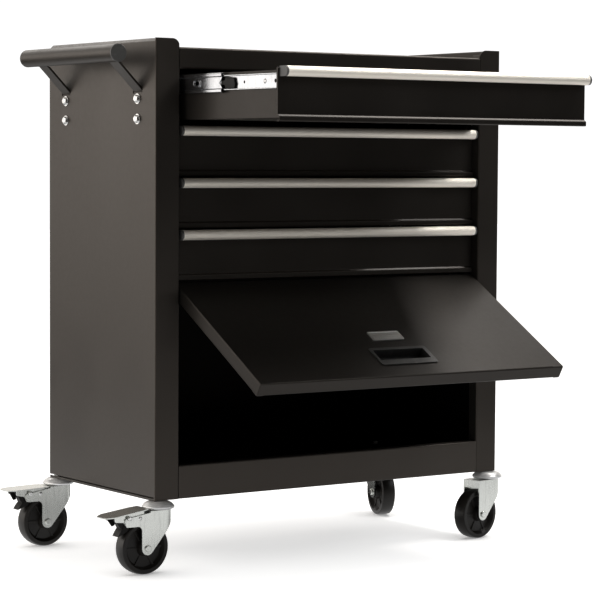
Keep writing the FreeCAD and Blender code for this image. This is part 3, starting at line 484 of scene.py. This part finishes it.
def slide_eyelets(number):
    """Raised rims round the slots in the middle members."""
    mesh = bmesh.new()
    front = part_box(f"slide_{number}_middle")[0].y
    centre = front + MM * EYELET["along"]
    for side, face, height in slide_frames(number):
        across = face + side * MM * EYELET["across"]
        rings = []
        for i in range(32):
            turn = 2 * math.pi * i / 32
            u, v = math.cos(turn), math.sin(turn)
            y = centre + math.copysign(MM * EYELET["straight"], u) + MM * EYELET["round"] * u
            z = height + MM * EYELET["round"] * v
            ring = []
            for k in range(8):
                tip = 2 * math.pi * k / 8
                out, lift = (MM * EYELET["bead"] * value for value in (math.cos(tip), math.sin(tip)))
                ring.append(mesh.verts.new((across + lift, y + out * u, z + out * v)))
            rings.append(ring)
        for a, b in zip(rings, rings[1:] + rings[:1]):
            for k in range(8):
                mesh.faces.new((a[k], a[(k + 1) % 8], b[(k + 1) % 8], b[k]))
    piece(f"slide_{number}_eyelets", mesh, f"slide_{number}", "slide_steel", 80)


def release_levers(number):
    """Black moulded levers in the drawer members, that let the drawer be lifted off its slides."""
    mesh = bmesh.new()
    inner_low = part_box(f"slide_{number}_inner")[0]
    start, stop = (inner_low.y + MM * along for along in LEVER["along"])
    half = MM * LEVER["half"]
    for side, face, height in slide_frames(number):
        low, high = sorted(face + side * MM * across for across in LEVER["across"])
        along = Matrix(((0, 0, 1, 0), (1, 0, 0, 0), (0, 1, 0, height), (0, 0, 0, 1)))
        head = [(start + 0.0012, -half), (start + LEVER_SHOULDER, -half), (start + LEVER_NECK, -0.0030)]
        head += [(stop, -0.0022), (stop, 0.0022), (start + LEVER_NECK, 0.0030)]
        head += [(start + LEVER_SHOULDER, half), (start + 0.0025, half * 0.8), (start - 0.0005, -0.002)]
        slab(mesh, head, low, high, along, LEVER_EASE)
        rib = [(start + 0.004, half - 0.003), (start + 0.019, half - 0.003)]
        rib += [(start + 0.019, half - 0.0015), (start + 0.004, half - 0.0015)]
        outside = low if side > 0 else high
        slab(mesh, rib, outside - 0.00025, outside + 0.00025, along)
    piece(f"drawer_{number}_release_levers", mesh, f"drawer_{number}", "shoe_plastic")


def slide_rivets(number):
    """Rivets that hold the drawer members to the drawer's sides."""
    mesh = bmesh.new()
    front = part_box(f"slide_{number}_inner")[0].y
    for side, face, height in slide_frames(number):
        web = face + side * MM * RIVET["across"]
        outward = Matrix.Rotation(math.radians(-90 * side), 4, "Y")
        for along in RIVET["along"]:
            place = Matrix.Translation((web, front + MM * along, height))
            turned(mesh, SLIDE_RIVET_HEAD, place @ outward)
    piece(f"drawer_{number}_slide_rivets", mesh, f"drawer_{number}", "zinc_hardware")


def joint_place(name):
    joints = frame["record"]["behaviour"]["joints"]
    return Vector(next(joint["pos_m"] for joint in joints if joint["name"] == name))


def fork_rivets(corner):
    """Heads on the brake pedal's pin and a pressed dimple rivet through the fork beside it."""
    mesh = bmesh.new()
    pivot = joint_place(f"{corner}_brake_press")
    low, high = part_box(f"{corner}_axle")
    fork_low, fork_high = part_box(f"{corner}_fork")
    for side, pin_end, fork_face in ((-1, low.y, fork_low.y), (1, high.y, fork_high.y)):
        facing = Matrix.Rotation(math.radians(-90 * side), 4, "X")
        turned(mesh, PIN_HEAD, Matrix.Translation((pivot.x, pin_end, pivot.z)) @ facing)
        beside = (pivot.x + FORK_RIVET_OFFSET[0], fork_face, pivot.z + FORK_RIVET_OFFSET[1])
        turned(mesh, FORK_RIVET_HEAD, Matrix.Translation(beside) @ facing)
    piece(f"{corner}_fork_rivets", mesh, f"{corner}_caster", "zinc_hardware", 50)


def handle_welds():
    """Weld beads where the handle's arms meet the bar."""
    mesh = bmesh.new()
    bar_low, bar_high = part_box("handle_bar")
    centre = (bar_low + bar_high) / 2
    radius = (bar_high.z - bar_low.z) / 2
    for arm in ("handle_arm_front", "handle_arm_rear"):
        low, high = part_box(arm)
        for turn in WELD_TURNS:
            way = math.radians(turn)
            x = centre.x + radius * math.cos(way) * 1.01
            z = centre.z + radius * math.sin(way) * 1.01
            for i in range(WELD_BEADS):
                y = low.y + 0.0012 + i * (high.y - low.y - 0.0024) / (WELD_BEADS - 1)
                size = WELD_SIZE + 0.0002 * math.sin(2.1 * i)
                place = Matrix.Translation((x, y, z)) @ Matrix.Diagonal((size, size * 1.35, size, 1))
                bmesh.ops.create_uvsphere(mesh, u_segments=12, v_segments=8, radius=1, matrix=place)
    piece("handle_welds", mesh, "cabinet", "powder_coat", 80)


def dress_scene():
    floor_mesh = bmesh.new()
    bmesh.ops.create_grid(floor_mesh, x_segments=1, y_segments=1, size=14)
    data = bpy.data.meshes.new("floor")
    floor_mesh.to_mesh(data)
    floor_mesh.free()
    floor = bpy.data.objects.new("floor", data)
    bpy.context.scene.collection.objects.link(floor)
    data.materials.append(floor_paper())


def floor_paper():
    """Pale floor that glows white to the camera, with painted shadows where the wheels meet the floor, under
    the cart and close by it. Its bounce is a glowing pool of light round the cart that fades to dark, with
    painted shade under the cart and behind the right-hand casters.
    """
    f = Finish("floor")
    grain = f.noise(3, detail=2)
    f.done(f.blend(grain, (0.80, 0.795, 0.79), (0.84, 0.84, 0.84)), 0.85)
    reach = f.node("ShaderNodeVectorMath", operation="LENGTH")
    f.feed(reach.inputs[0], f.place)
    shine = f.node("ShaderNodeEmission")
    openness = f.node("ShaderNodeAmbientOcclusion", samples=8)
    openness.inputs["Distance"].default_value = 0.07
    # Painted shadow: the camera's glow is dimmed where the floor is closed in, by the wheels and at the
    # cart's base.
    painted_contact_shadow = f.remap(openness.outputs["AO"], 0.35, 0.95, 0.38, 1.0)
    low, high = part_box("base_pan")
    # Painted shadow: the glow is dimmed under the cart.
    under = f.remap(f.spread((low + high) / 2, (0.36, 0.20)), 0.35, 1.35, UNDER_PAINTED_SHADOW, 1.0)
    # Painted shade: the glow is also dimmer near the cart, rising to full at 1.4 m.
    painted_shade_near_cart = f.remap(reach.outputs["Value"], 0.4, 1.4, 0.80, 1.0)
    f.feed(shine.inputs["Strength"], f.sum("MULTIPLY", painted_contact_shadow, f.sum("MULTIPLY", under, painted_shade_near_cart)))
    lit = f.node("ShaderNodeAddShader")
    f.feed(lit.inputs[0], f.surface.outputs["BSDF"])
    f.feed(lit.inputs[1], shine.outputs["Emission"])
    # Painted shade in the bounce: the glowing pool is dimmed under the cart and behind the right-hand
    # casters.
    shade = f.remap(f.spread((0, 0), (0.36, 0.24)), 0.6, 1.35, UNDER_SHADE, 1.0)
    fade = f.remap(reach.outputs["Value"], *POOL_FADE, POOL_BRIGHT, POOL_DARK)
    shade = f.sum("MULTIPLY", shade, f.remap(f.within(BEHIND_LOW, BEHIND_HIGH), 0, 1, 1, BEHIND_SHADE))
    pool = f.node("ShaderNodeEmission")
    f.feed(pool.inputs["Strength"], f.sum("MULTIPLY", shade, fade))
    choice = f.node("ShaderNodeMixShader")
    f.feed(choice.inputs["Fac"], f.node("ShaderNodeLightPath").outputs["Is Camera Ray"])
    f.feed(choice.inputs[1], pool.outputs["Emission"])
    f.feed(choice.inputs[2], lit.outputs["Shader"])
    f.feed(f.tree.nodes["Material Output"].inputs["Surface"], choice.outputs["Shader"])
    return f.material


def softbox(name, place, target, size, radiance, colour=(1, 1, 1)):
    """Rectangular area light at place, facing target; size is width and height in metres."""
    data = bpy.data.lights.new(name, "AREA")
    data.shape = "RECTANGLE"
    data.size, data.size_y = size
    data.energy = radiance * math.pi * size[0] * size[1]
    data.color = colour
    light = bpy.data.objects.new(name, data)
    bpy.context.scene.collection.objects.link(light)
    light.location = place
    light.rotation_euler = (Vector(target) - Vector(place)).to_track_quat("-Z", "Y").to_euler()
    light.visible_camera = False


def mirrored(place, lean, height):
    """Point at a height to which a face at place, leaning forward from level, sends the camera's sight."""
    sight = (Vector(place) - Vector(CAMERA_PLACE)).normalized()
    bounced = sight.reflect(Vector((0, -math.sin(lean), math.cos(lean))))
    return Vector(place) + bounced * (height - place[2]) / bounced.z


def studio():
    """White to look at. The cart reflects a pale backdrop behind it, dark elsewhere, and soft lights."""
    world = bpy.data.worlds.new("studio")
    bpy.context.scene.world = world
    world.use_nodes = True
    tree = world.node_tree
    background = tree.nodes["Background"]
    direction = tree.nodes.new("ShaderNodeSeparateXYZ")
    tree.links.new(tree.nodes.new("ShaderNodeTexCoord").outputs["Generated"], direction.inputs["Vector"])

    def remap(value, low, high, out_low, out_high):
        made = tree.nodes.new("ShaderNodeMapRange")
        tree.links.new(value, made.inputs["Value"])
        for name, entry in zip(("From Min", "From Max", "To Min", "To Max"), (low, high, out_low, out_high)):
            if isinstance(entry, bpy.types.NodeSocket):
                tree.links.new(entry, made.inputs[name])
            else:
                made.inputs[name].default_value = entry
        return made.outputs["Result"]

    low_down = remap(direction.outputs["Z"], 0.52, 0.76, BACKDROP, AMBIENT)
    behind = remap(direction.outputs["Y"], -0.15, 0.40, AMBIENT, low_down)
    is_camera = tree.nodes.new("ShaderNodeLightPath").outputs["Is Camera Ray"]
    tint = tree.nodes.new("ShaderNodeMix")
    tint.data_type = "RGBA"
    tree.links.new(is_camera, tint.inputs["Factor"])
    tint.inputs[6].default_value = (1.0, 0.955, 0.905, 1)
    tint.inputs[7].default_value = (1, 1, 1, 1)
    tree.links.new(tint.outputs[2], background.inputs["Color"])
    tree.links.new(remap(is_camera, 0, 1, behind, 1.1), background.inputs["Strength"])
    softbox("left_wall", (-1.9, 1.2, 0.72), (0, 1.2, 0.62), (3.4, 2.0), 1.42, (1, 0.95, 0.90))
    softbox("pull_strip", (1.15, -0.26, CEILING), (0, -0.30, 0.65), (1.2, 0.4), 16.0, (1, 0.975, 0.94))
    low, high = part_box("drawer_1_box")
    over_ledge = mirrored(((low.x + high.x) / 2, low.y + 0.004, low.z + 0.01), TOP_FOOT_LEAN, CEILING)
    softbox("ledge_strip", over_ledge, over_ledge - Vector((0, 0.01, 1)), (1.5, 0.2), 3.2, (0.86, 0.93, 1))
    softbox("foot_patch", (1.85, -1.25, CEILING), (1.85, -1.26, 0), (0.3, 0.32), 2.6, (0.86, 0.93, 1))
    softbox("flap_right", (2.02, 0.90, CEILING), (0.1, -0.2, 0.3), (0.6, 0.9), 1.5, (1, 0.965, 0.93))
    softbox("handle_back", (0.10, 2.55, 2.15), (-0.3, 0, 0.73), (1.3, 0.6), 2.4, (1, 0.97, 0.93))
    softbox("front_right", (1.7, -2.6, 2.3), (0, -0.4, 0.6), (2.6, 1.2), 1.7)
    bpy.context.scene.view_settings.view_transform = "Standard"


def camera():
    data = bpy.data.cameras.new("camera")
    data.lens = CAMERA_LENS
    data.sensor_width = 36
    made = bpy.data.objects.new("camera", data)
    bpy.context.scene.collection.objects.link(made)
    turn = Matrix.Rotation(math.radians(-CAMERA_YAW), 4, "Z")
    tip = Matrix.Rotation(math.radians(90 - CAMERA_PITCH), 4, "X")
    roll = Matrix.Rotation(math.radians(CAMERA_ROLL), 4, "Z")
    made.matrix_world = Matrix.Translation(CAMERA_PLACE) @ turn @ tip @ roll
    bpy.context.scene.camera = made


dress_cad_nodes()
for drawer in DRAWERS:
    ball_retainers(drawer)
    slide_eyelets(drawer)
    release_levers(drawer)
    slide_rivets(drawer)
for corner in BRAKED:
    fork_rivets(corner)
handle_welds()
dress_scene()
studio()
camera()
